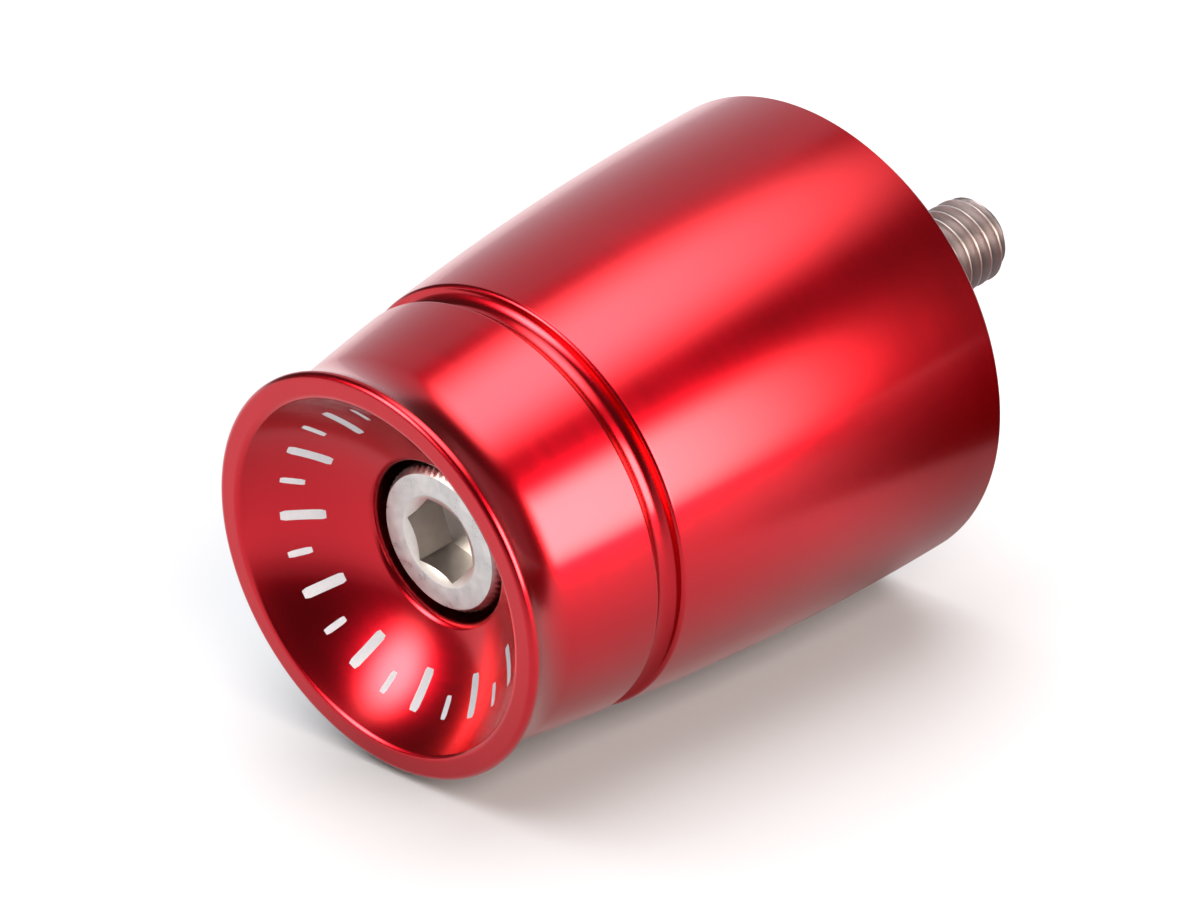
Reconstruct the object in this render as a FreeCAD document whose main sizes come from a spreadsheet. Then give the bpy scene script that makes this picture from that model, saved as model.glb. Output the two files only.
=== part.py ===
"""Bar end weight: a turned and anodised barrel with a dished nose, and the cap screw that lies in it.

Frame: the turning axis is the Y axis. The origin is the centre of the rear seat face, which lies in the
XZ plane and looks along +Y, towards the handlebar. The dished nose looks along -Y. +Z is up.
"""
import FreeCAD, Part
from collections import namedtuple
import math
import os
import Sketcher

V = FreeCAD.Vector
# The indexes that a sketch gives its own axes. Its origin is the first point of its X axis.
AXIS_INDEX = {"X": -1, "Y": -2}
ORIGIN = (AXIS_INDEX["X"], 1)
Edge = namedtuple("Edge", "number a b centre")

doc = FreeCAD.newDocument("bar_end_weight")

# Driving dimensions, in millimetres and degrees
sheet = doc.addObject("Spreadsheet::Sheet", "sizes")
DRIVING = [
    ("rear_dia", "32.5", "largest diameter, at the rear seat face"),
    ("weight_len", "40.3", "rear seat face to rim face"),
    ("rim_dia", "27.4", "diameter of the flared rim"),
    ("rim_flare", "1.32", "how far the rim stands out from the long curve along the outside"),
    ("cove_radius", "5.2", "hollow curve from the neck out to the rim"),
    ("rim_land", "0.5", "straight edge of the rim, along the axis"),
    ("rim_round", "0.4", "rounding of the rim's outer edge"),
    ("lip_round", "0.2", "rounding of the rim's inner edge"),
    ("rear_bevel", "0.4", "bevel round the rear edge"),
    ("ring_place", "28.8", "middle of the ring groove, from the rear face"),
    ("ring_width", "1.9", "width of the ring groove's round floor"),
    ("ring_edge_front", "0.2", "rounding of the groove's edge on the nose side"),
    ("ring_edge_rear", "0.3", "rounding of the groove's edge on the barrel side"),
    ("rim_wall", "1.6", "width of the rim's face, before its edges are rounded"),
    ("dish_radius", "14.4", "spherical radius of the dish"),
    ("seat_place", "28.6", "seat under the screw head, from the rear face"),
    ("head_clearance", "0.5", "gap round the screw head"),
    ("shank_clearance", "0.3", "gap round the screw shank"),
    ("head_bore_round", "0.6", "rounding where the head bore meets the dish"),
    ("shank_bore_bevel", "0.5", "bevel at the rear end of the shank bore"),
    ("seat_bevel", "0.3", "bevel at the front end of the shank bore"),
    ("thread_dia", "6", "outside diameter of the screw thread"),
    ("thread_pitch", "1", "distance from one crest of the thread to the next"),
    ("thread_rings", "16", "ring grooves that stand for the thread behind the rear face"),
    ("shank_dia", "5.35", "diameter of the screw's shank inside the bore, as its thread's pitch circle"),
    ("screw_len", "45", "screw length under the head"),
    ("tip_bevel", "0.9", "bevel at the thread's end"),
    ("head_dia", "10", "diameter of the screw head"),
    ("head_height", "6", "height of the screw head"),
    ("head_bevel", "0.4", "bevel round the screw head's top edge"),
    ("socket_flats", "5", "width across the flats of the hexagon socket"),
    ("socket_depth", "3", "depth of the hexagon socket"),
    ("socket_lead_dia", "6.2", "diameter of the tapered lead into the socket"),
    ("socket_lead_depth", "1", "depth of the tapered lead, which ends inside the hexagon"),
    ("socket_turn", "45", "angle of a socket corner, from the X axis towards the Z axis"),
]
for row, (alias, value, note) in enumerate(DRIVING, start=1):
    sheet.set(f"A{row}", note)
    sheet.set(f"B{row}", value)
    sheet.setAlias(f"B{row}", alias)
doc.recompute()


def size(alias):
    """The number that a cell of the sheet holds."""
    return float(sheet.get(alias))


def plane_of(body, role):
    """One of a body's own origin planes."""
    return next(f for f in body.Origin.OriginFeatures if f.Role == role)


def new_sketch(body, name, role):
    """A sketch on one of the body's own origin planes."""
    sketch = body.newObject("Sketcher::SketchObject", name)
    sketch.AttachmentSupport = [(plane_of(body, role), "")]
    sketch.MapMode = "FlatFace"
    return sketch


def outline(sketch, steps, smooth=()):
    """Draws a closed outline and returns its edges by name.

    Each step is an edge's name, the (radius, y) corner that it starts at and, for an arc, its centre.
    An arc goes the short way round. An edge listed in smooth runs into the next with no corner.
    """
    edges = {}
    for i, (name, corner, *centre) in enumerate(steps):
        begin, finish = V(*corner[:2], 0), V(*steps[(i + 1) % len(steps)][1][:2], 0)
        if centre:
            out = (begin - centre[0] + finish - centre[0]).normalize()
            middle = centre[0] + out * (begin - centre[0]).Length
            number = sketch.addGeometry(Part.Arc(begin, middle, finish), False)
        else:
            number = sketch.addGeometry(Part.LineSegment(begin, finish), False)
        # An arc is kept anticlockwise, so its first point may be the end of the edge.
        forward = sketch.getPoint(number, 1).distanceToPoint(begin) < 1e-6
        ends = (1, 2) if forward else (2, 1)
        edges[name] = Edge(number, (number, ends[0]), (number, ends[1]), (number, 3))
    names = list(edges)
    for name, following in zip(names, names[1:] + names[:1]):
        joint = "Tangent" if name in smooth else "Coincident"
        fix(sketch, joint, *edges[name].b, *edges[following].a)
    return edges


def fix(sketch, kind, *refs, value=None, name=None, formula=None):
    """Adds a constraint, and ties it to the sheet where a formula is given."""
    args = refs if value is None else (*refs, value)
    index = sketch.addConstraint(Sketcher.Constraint(kind, *args))
    if formula is not None:
        sketch.renameConstraint(index, name)
        sketch.setExpression(f"Constraints.{name}", formula)


def revolve(body, kind, name, sketch):
    """A full turn of a sketch about the Y axis, added (Revolution) or cut away (Groove)."""
    feature = body.newObject(kind, name)
    feature.Profile = sketch
    feature.ReferenceAxis = (sketch, ["V_Axis"])
    feature.Angle = 360.0
    return feature


def crossing(centre_a, radius_a, centre_b, radius_b, side):
    """Where two circles cross, on the left (1) or the right (-1) of the way from one to the other."""
    way = centre_b - centre_a
    along = (way.Length**2 + radius_a**2 - radius_b**2) / (2 * way.Length)
    aside = math.sqrt(radius_a**2 - along**2)
    unit = way / way.Length
    return centre_a + unit * along + V(-unit.y, unit.x, 0) * aside * side


def towards(start, target, distance):
    """The point that lies that far from start on the way to target."""
    return start + (target - start).normalize() * distance


def rings_at(shape, radius, y, tolerance=1e-3):
    """Names of the edges that run round the Y axis at that radius and that place along it."""
    names = []
    for i, edge in enumerate(shape.Edges, start=1):
        spots = edge.discretize(7)
        off = max(max(abs(math.hypot(p.x, p.z) - radius), abs(p.y - y)) for p in spots)
        if off < tolerance:
            names.append(f"Edge{i}")
    return names


def bevel(body, name, base, edges, formula):
    """Bevels edges of the last feature by a size of the sheet."""
    if not edges:
        raise RuntimeError(f"{name} found no edge")
    feature = body.newObject("PartDesign::Chamfer", name)
    feature.Base = (base, edges)
    feature.setExpression("Size", formula)
    doc.recompute()
    return feature


def must_cut(before, feature):
    """Stops if a cut took nothing away."""
    if feature.Shape.Volume > before - 1e-6:
        raise RuntimeError(f"{feature.Name} cut nothing")


def make_weight_body():
    """The turned weight: one outline, from the rear face along the outside and back down the bore."""
    body = doc.addObject("PartDesign::Body", "weight_body")
    body.Label = "weight_body"

    rear_r, rim_r, rim_y = size("rear_dia") / 2, size("rim_dia") / 2, -size("weight_len")
    dish_r = rim_r - size("rim_wall")
    land_y = rim_y + size("rim_land")
    shank_r = size("thread_dia") / 2 + size("shank_clearance")
    head_r = size("head_dia") / 2 + size("head_clearance")
    seat_y = -size("seat_place")

    # The barrel and the collar lie on one long curve, which is square to the rear face and would
    # reach the rim's plane inside the rim. The ring groove's centre rides on it.
    long_end = V(rim_r - size("rim_flare"), rim_y, 0)
    drop = rear_r - long_end.x
    long_r, floor_r = (drop**2 + rim_y**2) / (2 * drop), size("ring_width") / 2
    long_c = V(rear_r - long_r, 0, 0)
    ring_y = -size("ring_place")
    floor_c = V(long_c.x + math.sqrt(long_r**2 - ring_y**2), ring_y, 0)
    rear_bevel = size("rear_bevel")
    barrel_start = V(long_c.x + math.sqrt(long_r**2 - rear_bevel**2), -rear_bevel, 0)

    # Each of the groove's edges is rounded by a circle that touches the long curve and the floor.
    behind_r, ahead_r = size("ring_edge_rear"), size("ring_edge_front")
    behind_c = crossing(long_c, long_r - behind_r, floor_c, floor_r + behind_r, 1)
    ahead_c = crossing(long_c, long_r - ahead_r, floor_c, floor_r + ahead_r, -1)

    # The cove touches the long curve and ends at the rim's land.
    cove_r = size("cove_radius")
    cove_c = crossing(long_c, long_r + cove_r, V(rim_r, land_y, 0), cove_r, 1)

    # The dish is a piece of a ball whose centre lies on the axis, in front of the rim.
    ball_r, rim_round = size("dish_radius"), size("rim_round")
    ball_c = V(0, rim_y - math.sqrt(ball_r**2 - dish_r**2), 0)
    lip_r, mouth_r = size("lip_round"), size("head_bore_round")
    lip_y = rim_y + lip_r
    lip_c = V(math.sqrt((ball_r + lip_r)**2 - (lip_y - ball_c.y)**2), lip_y, 0)
    mouth_x = head_r + mouth_r
    mouth_c = V(mouth_x, ball_c.y + math.sqrt((ball_r + mouth_r)**2 - mouth_x**2), 0)

    seat_bevel, exit_bevel = size("seat_bevel"), size("shank_bore_bevel")
    sketch = new_sketch(body, "turned_outline", "XY_Plane")
    edge = outline(sketch, [
        ("rear", (shank_r + exit_bevel, 0)),
        ("rear_edge", (rear_r - rear_bevel, 0)),
        ("barrel", barrel_start, long_c),
        ("behind", towards(long_c, behind_c, long_r), behind_c),
        ("floor", towards(floor_c, behind_c, floor_r), floor_c),
        ("ahead", towards(floor_c, ahead_c, floor_r), ahead_c),
        ("collar", towards(long_c, ahead_c, long_r), long_c),
        ("cove", towards(long_c, cove_c, long_r), cove_c),
        ("land", (rim_r, land_y)),
        ("rim_edge", (rim_r, rim_y + rim_round), V(rim_r - rim_round, rim_y + rim_round, 0)),
        ("rim", (rim_r - rim_round, rim_y)),
        ("lip", (lip_c.x, rim_y), lip_c),
        ("dish", towards(ball_c, lip_c, ball_r), ball_c),
        ("mouth", towards(ball_c, mouth_c, ball_r), mouth_c),
        ("head_bore", (head_r, mouth_c.y)),
        ("seat", (head_r, seat_y)),
        ("seat_edge", (shank_r + seat_bevel, seat_y)),
        ("shank_bore", (shank_r, seat_y + seat_bevel)),
        ("exit_edge", (shank_r, -exit_bevel)),
    ], smooth=("barrel", "behind", "floor", "ahead", "collar", "land", "rim_edge", "rim", "lip", "dish",
               "mouth"))

    for flat in ("rear", "rim", "seat"):
        fix(sketch, "Horizontal", edge[flat].number)
    for upright in ("land", "head_bore", "shank_bore"):
        fix(sketch, "Vertical", edge[upright].number)
    fix(sketch, "PointOnObject", *edge["rear"].a, AXIS_INDEX["X"])
    fix(sketch, "PointOnObject", *edge["barrel"].centre, AXIS_INDEX["X"])
    long_start = sketch.addGeometry(Part.Point(V(rear_r, 0, 0)), True)
    long_finish = sketch.addGeometry(Part.Point(long_end), True)
    fix(sketch, "PointOnObject", long_start, 1, AXIS_INDEX["X"])
    for point in ((long_start, 1), (long_finish, 1), edge["floor"].centre):
        fix(sketch, "PointOnObject", *point, edge["barrel"].number)
    fix(sketch, "Coincident", *edge["collar"].centre, *edge["barrel"].centre)
    fix(sketch, "Equal", edge["collar"].number, edge["barrel"].number)
    fix(sketch, "PointOnObject", *edge["dish"].centre, AXIS_INDEX["Y"])

    for arc, radius, name, formula in (
        ("behind", behind_r, "ring_edge_rear", "sizes.ring_edge_rear"),
        ("floor", floor_r, "ring_floor", "sizes.ring_width / 2"),
        ("ahead", ahead_r, "ring_edge_front", "sizes.ring_edge_front"),
        ("cove", cove_r, "cove_radius", "sizes.cove_radius"),
        ("rim_edge", rim_round, "rim_rounding", "sizes.rim_round"),
        ("lip", lip_r, "lip_rounding", "sizes.lip_round"),
        ("dish", ball_r, "dish_radius", "sizes.dish_radius"),
        ("mouth", mouth_r, "head_bore_rounding", "sizes.head_bore_round"),
    ):
        fix(sketch, "Radius", edge[arc].number, value=radius, name=name, formula=formula)

    # Distances out from the axis, and forward from the rear face.
    for point, value, name, formula in (
        (edge["rear"].b, rear_r - rear_bevel, "rear_face_radius", "sizes.rear_dia / 2 - sizes.rear_bevel"),
        ((long_start, 1), rear_r, "rear_radius", "sizes.rear_dia / 2"),
        ((long_finish, 1), long_end.x, "long_end_radius", "sizes.rim_dia / 2 - sizes.rim_flare"),
        (edge["land"].a, rim_r, "rim_radius", "sizes.rim_dia / 2"),
        (edge["head_bore"].a, head_r, "head_bore_radius", "sizes.head_dia / 2 + sizes.head_clearance"),
        (edge["shank_bore"].a, shank_r, "shank_bore_radius", "sizes.thread_dia / 2 + sizes.shank_clearance"),
    ):
        fix(sketch, "DistanceX", *ORIGIN, *point, value=value, name=name, formula=formula)
    for point, value, name, formula in (
        (edge["floor"].centre, ring_y, "ring_place", "sizes.ring_place"),
        (edge["land"].a, land_y, "land_place", "sizes.weight_len - sizes.rim_land"),
        (edge["rim"].a, rim_y, "rim_place", "sizes.weight_len"),
        ((long_finish, 1), rim_y, "long_end_place", "sizes.weight_len"),
        (edge["dish"].centre, ball_c.y, "dish_centre",
         "sizes.weight_len + sqrt(sizes.dish_radius ^ 2 - (sizes.rim_dia / 2 - sizes.rim_wall) ^ 2)"),
        (edge["seat"].a, seat_y, "seat_place", "sizes.seat_place"),
        (edge["barrel"].a, -rear_bevel, "rear_bevel", "sizes.rear_bevel"),
    ):
        fix(sketch, "DistanceY", *point, *ORIGIN, value=-value, name=name, formula=formula)
    for kind, start, end, value, name in (
        ("DistanceX", edge["seat_edge"].b, edge["seat_edge"].a, seat_bevel, "seat_bevel"),
        ("DistanceY", edge["seat_edge"].a, edge["seat_edge"].b, seat_bevel, "seat_bevel"),
        ("DistanceX", edge["exit_edge"].a, edge["exit_edge"].b, exit_bevel, "shank_bore_bevel"),
        ("DistanceY", edge["exit_edge"].a, edge["exit_edge"].b, exit_bevel, "shank_bore_bevel"),
    ):
        fix(sketch, kind, *start, *end, value=value, name=f"{name}_{kind[-1]}", formula=f"sizes.{name}")
    body.Tip = revolve(body, "PartDesign::Revolution", "turned_weight", sketch)
    doc.recompute()
    return body


def make_screw():
    """The hexagon socket cap screw: its head on the seat of the bore, its thread out behind.

    The thread is a row of ring grooves at its pitch, with no helix, and starts at the rear seat face.
    """
    body = doc.addObject("PartDesign::Body", "screw")
    body.Label = "screw"

    head_r, shank_r, thread_r = (size(f"{name}_dia") / 2 for name in ("head", "shank", "thread"))
    seat_y = -size("seat_place")
    face_y, tip_y = seat_y - size("head_height"), seat_y + size("screw_len")
    screw_outline = new_sketch(body, "screw_outline", "XY_Plane")
    edge = outline(screw_outline, [
        ("face", (0, face_y)),
        ("head", (head_r, face_y)),
        ("seat", (head_r, seat_y)),
        ("shank", (shank_r, seat_y)),
        ("step", (shank_r, 0)),
        ("thread", (thread_r, 0)),
        ("tip", (thread_r, tip_y)),
        ("axis", (0, tip_y)),
    ])
    for flat in ("face", "seat", "step", "tip"):
        fix(screw_outline, "Horizontal", edge[flat].number)
    for upright in ("head", "shank", "thread", "axis"):
        fix(screw_outline, "Vertical", edge[upright].number)
    fix(screw_outline, "PointOnObject", *edge["face"].a, AXIS_INDEX["Y"])
    fix(screw_outline, "PointOnObject", *edge["step"].a, AXIS_INDEX["X"])
    for kind, start, end, value, name, formula in (
        ("DistanceX", edge["face"].a, edge["face"].b, head_r, "head_radius", "sizes.head_dia / 2"),
        ("DistanceX", ORIGIN, edge["step"].a, shank_r, "shank_radius", "sizes.shank_dia / 2"),
        ("DistanceX", edge["tip"].b, edge["tip"].a, thread_r, "thread_radius", "sizes.thread_dia / 2"),
        ("DistanceY", edge["head"].a, edge["head"].b, seat_y - face_y, "head_height",
         "sizes.head_height"),
        ("DistanceY", edge["seat"].b, edge["tip"].a, tip_y - seat_y, "length_under_head",
         "sizes.screw_len"),
        ("DistanceY", edge["seat"].b, ORIGIN, -seat_y, "seat_place", "sizes.seat_place"),
    ):
        fix(screw_outline, kind, *start, *end, value=value, name=name, formula=formula)
    blank = revolve(body, "PartDesign::Revolution", "screw_blank", screw_outline)
    doc.recompute()

    # The socket's corners lie on a circle, which the width across its flats gives.
    corner_r = size("socket_flats") / math.sqrt(3)
    start = math.radians(size("socket_turn"))
    corners = [
        (corner_r * math.cos(start + k * math.pi / 3), corner_r * math.sin(start + k * math.pi / 3))
        for k in range(6)
    ]
    socket_outline = new_sketch(body, "socket_outline", "XZ_Plane")
    flats = list(outline(socket_outline, list(enumerate(corners))).values())
    ring = socket_outline.addGeometry(Part.Circle(V(0, 0, 0), V(0, 0, 1), corner_r), True)
    spoke = socket_outline.addGeometry(Part.LineSegment(V(0, 0, 0), V(*corners[0], 0)), True)
    fix(socket_outline, "Coincident", ring, 3, *ORIGIN)
    fix(socket_outline, "Coincident", spoke, 1, *ORIGIN)
    fix(socket_outline, "Coincident", spoke, 2, *flats[0].a)
    for flat in flats:
        fix(socket_outline, "PointOnObject", *flat.a, ring)
    for flat in flats[1:]:
        fix(socket_outline, "Equal", flats[0].number, flat.number)
    fix(socket_outline, "Radius", ring, value=corner_r, name="corner_radius",
        formula="sizes.socket_flats / sqrt(3)")
    fix(socket_outline, "Angle", AXIS_INDEX["X"], 1, spoke, 1, value=start, name="socket_turn",
        formula="sizes.socket_turn * 1 deg")
    # The plane's normal points along -Y, so this offset carries the sketch to the head's face.
    socket_outline.setExpression("AttachmentOffset.Base.z", "sizes.seat_place + sizes.head_height")
    socket = body.newObject("PartDesign::Pocket", "socket")
    socket.Profile = socket_outline
    socket.setExpression("Length", "sizes.socket_depth")
    doc.recompute()
    must_cut(blank.Shape.Volume, socket)

    # A right-angled taper leads the key into the socket.
    lead_r, lead_depth = size("socket_lead_dia") / 2, size("socket_lead_depth")
    lead_outline = new_sketch(body, "lead_outline", "XY_Plane")
    edge = outline(lead_outline, [
        ("mouth", (0, face_y)),
        ("taper", (lead_r, face_y)),
        ("end", (lead_r - lead_depth, face_y + lead_depth)),
        ("axis", (0, face_y + lead_depth)),
    ])
    fix(lead_outline, "Horizontal", edge["mouth"].number)
    fix(lead_outline, "Horizontal", edge["end"].number)
    fix(lead_outline, "Vertical", edge["axis"].number)
    fix(lead_outline, "PointOnObject", *edge["mouth"].a, AXIS_INDEX["Y"])
    for kind, start, end, value, name, formula in (
        ("DistanceX", edge["mouth"].a, edge["mouth"].b, lead_r, "mouth_radius",
         "sizes.socket_lead_dia / 2"),
        ("DistanceX", edge["end"].b, edge["end"].a, lead_r - lead_depth, "end_radius",
         "sizes.socket_lead_dia / 2 - sizes.socket_lead_depth"),
        ("DistanceY", edge["axis"].b, edge["axis"].a, lead_depth, "lead_depth",
         "sizes.socket_lead_depth"),
        ("DistanceY", edge["mouth"].a, ORIGIN, -face_y, "face_place",
         "sizes.seat_place + sizes.head_height"),
    ):
        fix(lead_outline, kind, *start, *end, value=value, name=name, formula=formula)
    lead = revolve(body, "PartDesign::Groove", "socket_lead", lead_outline)
    doc.recompute()
    must_cut(socket.Shape.Volume, lead)

    last = lead
    for name, place, formula in (
        ("head_bevel", (head_r, face_y), "sizes.head_bevel"),
        ("tip_bevel", (thread_r, tip_y), "sizes.tip_bevel"),
    ):
        last = bevel(body, name, last, rings_at(last.Shape, *place), formula)

    # A metric thread's flanks stand at 60 degrees, its crest is an eighth of the pitch wide and its
    # root a sixth. The groove's mouth lies a little outside the crests, so that it cuts cleanly.
    pitch = size("thread_pitch")
    root_r, mouth_r = thread_r - 0.6134 * pitch, thread_r + pitch / 16
    root_width, mouth_width = pitch / 6, 0.9472 * pitch
    groove_outline = new_sketch(body, "thread_groove_outline", "XY_Plane")
    edge = outline(groove_outline, [
        ("front_flank", (mouth_r, (pitch - mouth_width) / 2)),
        ("root", (root_r, (pitch - root_width) / 2)),
        ("rear_flank", (root_r, (pitch + root_width) / 2)),
        ("mouth", (mouth_r, (pitch + mouth_width) / 2)),
    ])
    fix(groove_outline, "Vertical", edge["root"].number)
    fix(groove_outline, "Vertical", edge["mouth"].number)
    for kind, start, end, value, name, formula in (
        ("DistanceX", ORIGIN, edge["root"].a, root_r, "root_radius",
         "sizes.thread_dia / 2 - 0.6134 * sizes.thread_pitch"),
        ("DistanceX", ORIGIN, edge["mouth"].a, mouth_r, "mouth_radius",
         "sizes.thread_dia / 2 + sizes.thread_pitch / 16"),
        ("DistanceY", edge["root"].a, edge["root"].b, root_width, "root_width",
         "sizes.thread_pitch / 6"),
        ("DistanceY", edge["mouth"].b, edge["mouth"].a, mouth_width, "mouth_width",
         "0.9472 * sizes.thread_pitch"),
        ("DistanceY", ORIGIN, edge["root"].a, (pitch - root_width) / 2, "root_place",
         "sizes.thread_pitch * 5 / 12"),
        ("DistanceY", ORIGIN, edge["mouth"].b, (pitch - mouth_width) / 2, "mouth_place",
         "0.0264 * sizes.thread_pitch"),
    ):
        fix(groove_outline, kind, *start, *end, value=value, name=name, formula=formula)
    groove = revolve(body, "PartDesign::Groove", "thread_groove", groove_outline)
    doc.recompute()
    must_cut(last.Shape.Volume, groove)

    thread = body.newObject("PartDesign::LinearPattern", "thread")
    thread.Originals = [groove]
    thread.Direction = (groove_outline, ["V_Axis"])
    thread.setExpression("Length", "sizes.thread_pitch * (sizes.thread_rings - 1)")
    thread.setExpression("Occurrences", "sizes.thread_rings")
    doc.recompute()
    must_cut(groove.Shape.Volume, thread)
    body.Tip = thread
    return body


parts = [make_weight_body(), make_screw()]
doc.recompute()

for item in doc.Objects:
    if "Invalid" in item.State or "Error" in item.State:
        raise RuntimeError(f"{item.Name} did not compute: {item.State}")

os.makedirs("parts", exist_ok=True)
for part in parts:
    shape = part.Shape
    if shape.isNull() or not shape.isValid() or len(shape.Solids) != 1:
        raise RuntimeError(f"{part.Label} is not one valid solid")
    shape.exportStep(f"parts/{part.Label}.step")
    box = shape.optimalBoundingBox(False)
    sides = " x ".join(f"{side:.2f}" for side in (box.XLength, box.YLength, box.ZLength))
    print(f"{part.Label}: {shape.Volume:.1f} mm3, {sides} mm")
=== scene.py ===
# %% [markdown]
# # A red bar end weight, dressed for its portrait
# The object is a weight that closes the end of a motorbike's handlebar. It is two things: a weight
# turned from one bar of aluminium and anodised red, and the stainless cap screw that holds it.
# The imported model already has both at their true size. This lesson gives them their looks. It turns
# the weight again with finer steps, because polished metal shows every facet, and it builds the screw
# again with its spiral thread and the knurling on its head, which are too fine for the model.

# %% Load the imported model
import math

import bmesh
import bpy
from mathutils import Matrix, Vector


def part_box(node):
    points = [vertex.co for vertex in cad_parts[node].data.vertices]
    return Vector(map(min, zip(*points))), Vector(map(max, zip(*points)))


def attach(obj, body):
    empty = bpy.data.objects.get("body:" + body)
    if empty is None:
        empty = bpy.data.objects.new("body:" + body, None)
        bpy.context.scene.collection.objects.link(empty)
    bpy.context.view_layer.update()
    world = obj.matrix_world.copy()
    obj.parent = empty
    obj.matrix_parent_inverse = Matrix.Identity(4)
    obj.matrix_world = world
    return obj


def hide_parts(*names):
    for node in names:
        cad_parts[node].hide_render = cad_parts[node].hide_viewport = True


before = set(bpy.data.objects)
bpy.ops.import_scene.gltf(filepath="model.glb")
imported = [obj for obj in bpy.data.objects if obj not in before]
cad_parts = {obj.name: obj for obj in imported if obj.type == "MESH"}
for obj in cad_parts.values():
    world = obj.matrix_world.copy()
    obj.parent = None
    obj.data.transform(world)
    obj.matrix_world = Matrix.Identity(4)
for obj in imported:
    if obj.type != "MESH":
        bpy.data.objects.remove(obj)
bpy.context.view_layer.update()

# %% [markdown]
# ## Units
# Blender works in metres and the object is described in millimetres, so one name, MM, turns one into
# the other. Writing `5 * MM` keeps the numbers as a maker would say them.

# %% Millimetres
MM = 0.001

body_low, body_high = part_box("weight_body")
screw_low, screw_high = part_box("screw")
AXIS_MIDDLE = Vector((0, (body_low.y + body_high.y) / 2, 0))
print(f"the weight is {(body_high.y - body_low.y) / MM:.2f} mm long")
print(f"the screw is {(screw_high.y - screw_low.y) / MM:.2f} mm long")

# %% [markdown]
# ## The camera
# The photo looks at the dished nose from the front right and from above. Directions round the object
# are given as two angles: azimuth, which is 0 when the camera looks along +Y and grows towards +X,
# and elevation above the ground. A long lens from less than half a metre gives the photo's mild
# perspective. The camera is rolled a little, as it was for the photo.

# %% A place round the object
def around(azimuth, elevation, distance):
    """The point that lies that far from the middle of the weight, in that direction (degrees)."""
    a = math.radians(azimuth)
    e = math.radians(elevation)
    way = Vector((math.sin(a) * math.cos(e), -math.cos(a) * math.cos(e), math.sin(e)))
    return AXIS_MIDDLE + way * distance


def aim(thing, target, roll=0.0):
    """Turns a camera or light to look at a point, then rolls it about its line of sight (degrees)."""
    look = (target - thing.location).to_track_quat("-Z", "Y")
    thing.rotation_euler = (look.to_matrix() @ Matrix.Rotation(math.radians(roll), 3, "Z")).to_euler()


# %% The camera itself
camera_data = bpy.data.cameras.new("camera")
camera_data.lens = 205
camera_data.sensor_width = 36
camera_data.clip_start = 0.01
camera_data.clip_end = 20
camera = bpy.data.objects.new("camera", camera_data)
bpy.context.scene.collection.objects.link(camera)
camera.location = around(azimuth=46.25, elevation=28.83, distance=431.2 * MM)
aim(camera, AXIS_MIDDLE, roll=-4.96)
bpy.context.scene.camera = camera
print("camera at", [round(v / MM, 1) for v in camera.location], "mm")

# %% [markdown]
# ## The floor
# The weight lies on its side, and its barrel bulges a little, so it rocks back on its belly: the
# ground is tilted by 3.67 degrees against the weight's axis and touches the barrel under the point
# where it balances. The floor is a plain pale sheet, which isn't part of the object.

# %% Floor and its finish
FLOOR_TILT = 3.67  # degrees
FLOOR_DROP = 16.65 * MM
FLOOR_REACH = 3.0  # metres, half a side

floor_up = Matrix.Rotation(math.radians(-FLOOR_TILT), 3, "X") @ Vector((0, 0, 1))
floor_mesh = bpy.data.meshes.new("floor")
form = bmesh.new()
bmesh.ops.create_grid(form, x_segments=2, y_segments=2, size=FLOOR_REACH)
form.to_mesh(floor_mesh)
form.free()
floor = bpy.data.objects.new("floor", floor_mesh)
bpy.context.scene.collection.objects.link(floor)
floor.rotation_euler = (math.radians(-FLOOR_TILT), 0, 0)
floor.location = -floor_up * FLOOR_DROP
print("the floor's up is", [round(v, 4) for v in floor_up])

# %% [markdown]
# ## Colours
# A colour picked on a screen is an sRGB value. Shaders work with linear light, so each hex value
# passes through the sRGB curve once, here, and nowhere else.

# %% From a hex value to linear light
def linear(hex_value):
    """The linear red, green, blue and alpha of an sRGB colour such as 'B4001E'."""
    channels = [int(hex_value[i:i + 2], 16) / 255 for i in (0, 2, 4)]
    return [c / 12.92 if c <= 0.04045 else ((c + 0.055) / 1.055)**2.4 for c in channels] + [1.0]


print("the middle grey 808080 is", round(linear("808080")[0], 3), "in linear light")

# %% [markdown]
# ## Materials are small graphs
# Every finish below is a few nodes: a coordinate, a pattern at a real scale, and a shader. One small
# function adds a node, sets what it is given and links what it is given.

# %% One function that adds a node
def new_material(name):
    """A new material and its node tree, which is still empty."""
    material = bpy.data.materials.new(name)
    material.use_nodes = True
    material.node_tree.nodes.clear()
    print("material:", name)
    return material, material.node_tree


def add_node(tree, kind, inputs=None, **settings):
    """Adds a node. Settings go on the node. An input is a value, or a socket to link it to."""
    node = tree.nodes.new(kind)
    for name, value in settings.items():
        setattr(node, name, value)
    for name, value in (inputs or {}).items():
        if isinstance(value, bpy.types.NodeSocket):
            tree.links.new(value, node.inputs[name])
        else:
            node.inputs[name].default_value = value
    return node


# %% The floor's paper
def studio_paper():
    """White paper: quite rough, and a light tone, because the lamps overexpose it as in the photo."""
    material, tree = new_material("studio_paper")
    shader = add_node(tree, "ShaderNodeBsdfPrincipled", {
        "Base Color": linear("B2B4B5"),
        "Roughness": 0.9,
        "Specular IOR Level": 0.2,
    })
    add_node(tree, "ShaderNodeOutputMaterial", {"Surface": shader.outputs["BSDF"]})
    return material


floor.data.materials.append(studio_paper())

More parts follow.
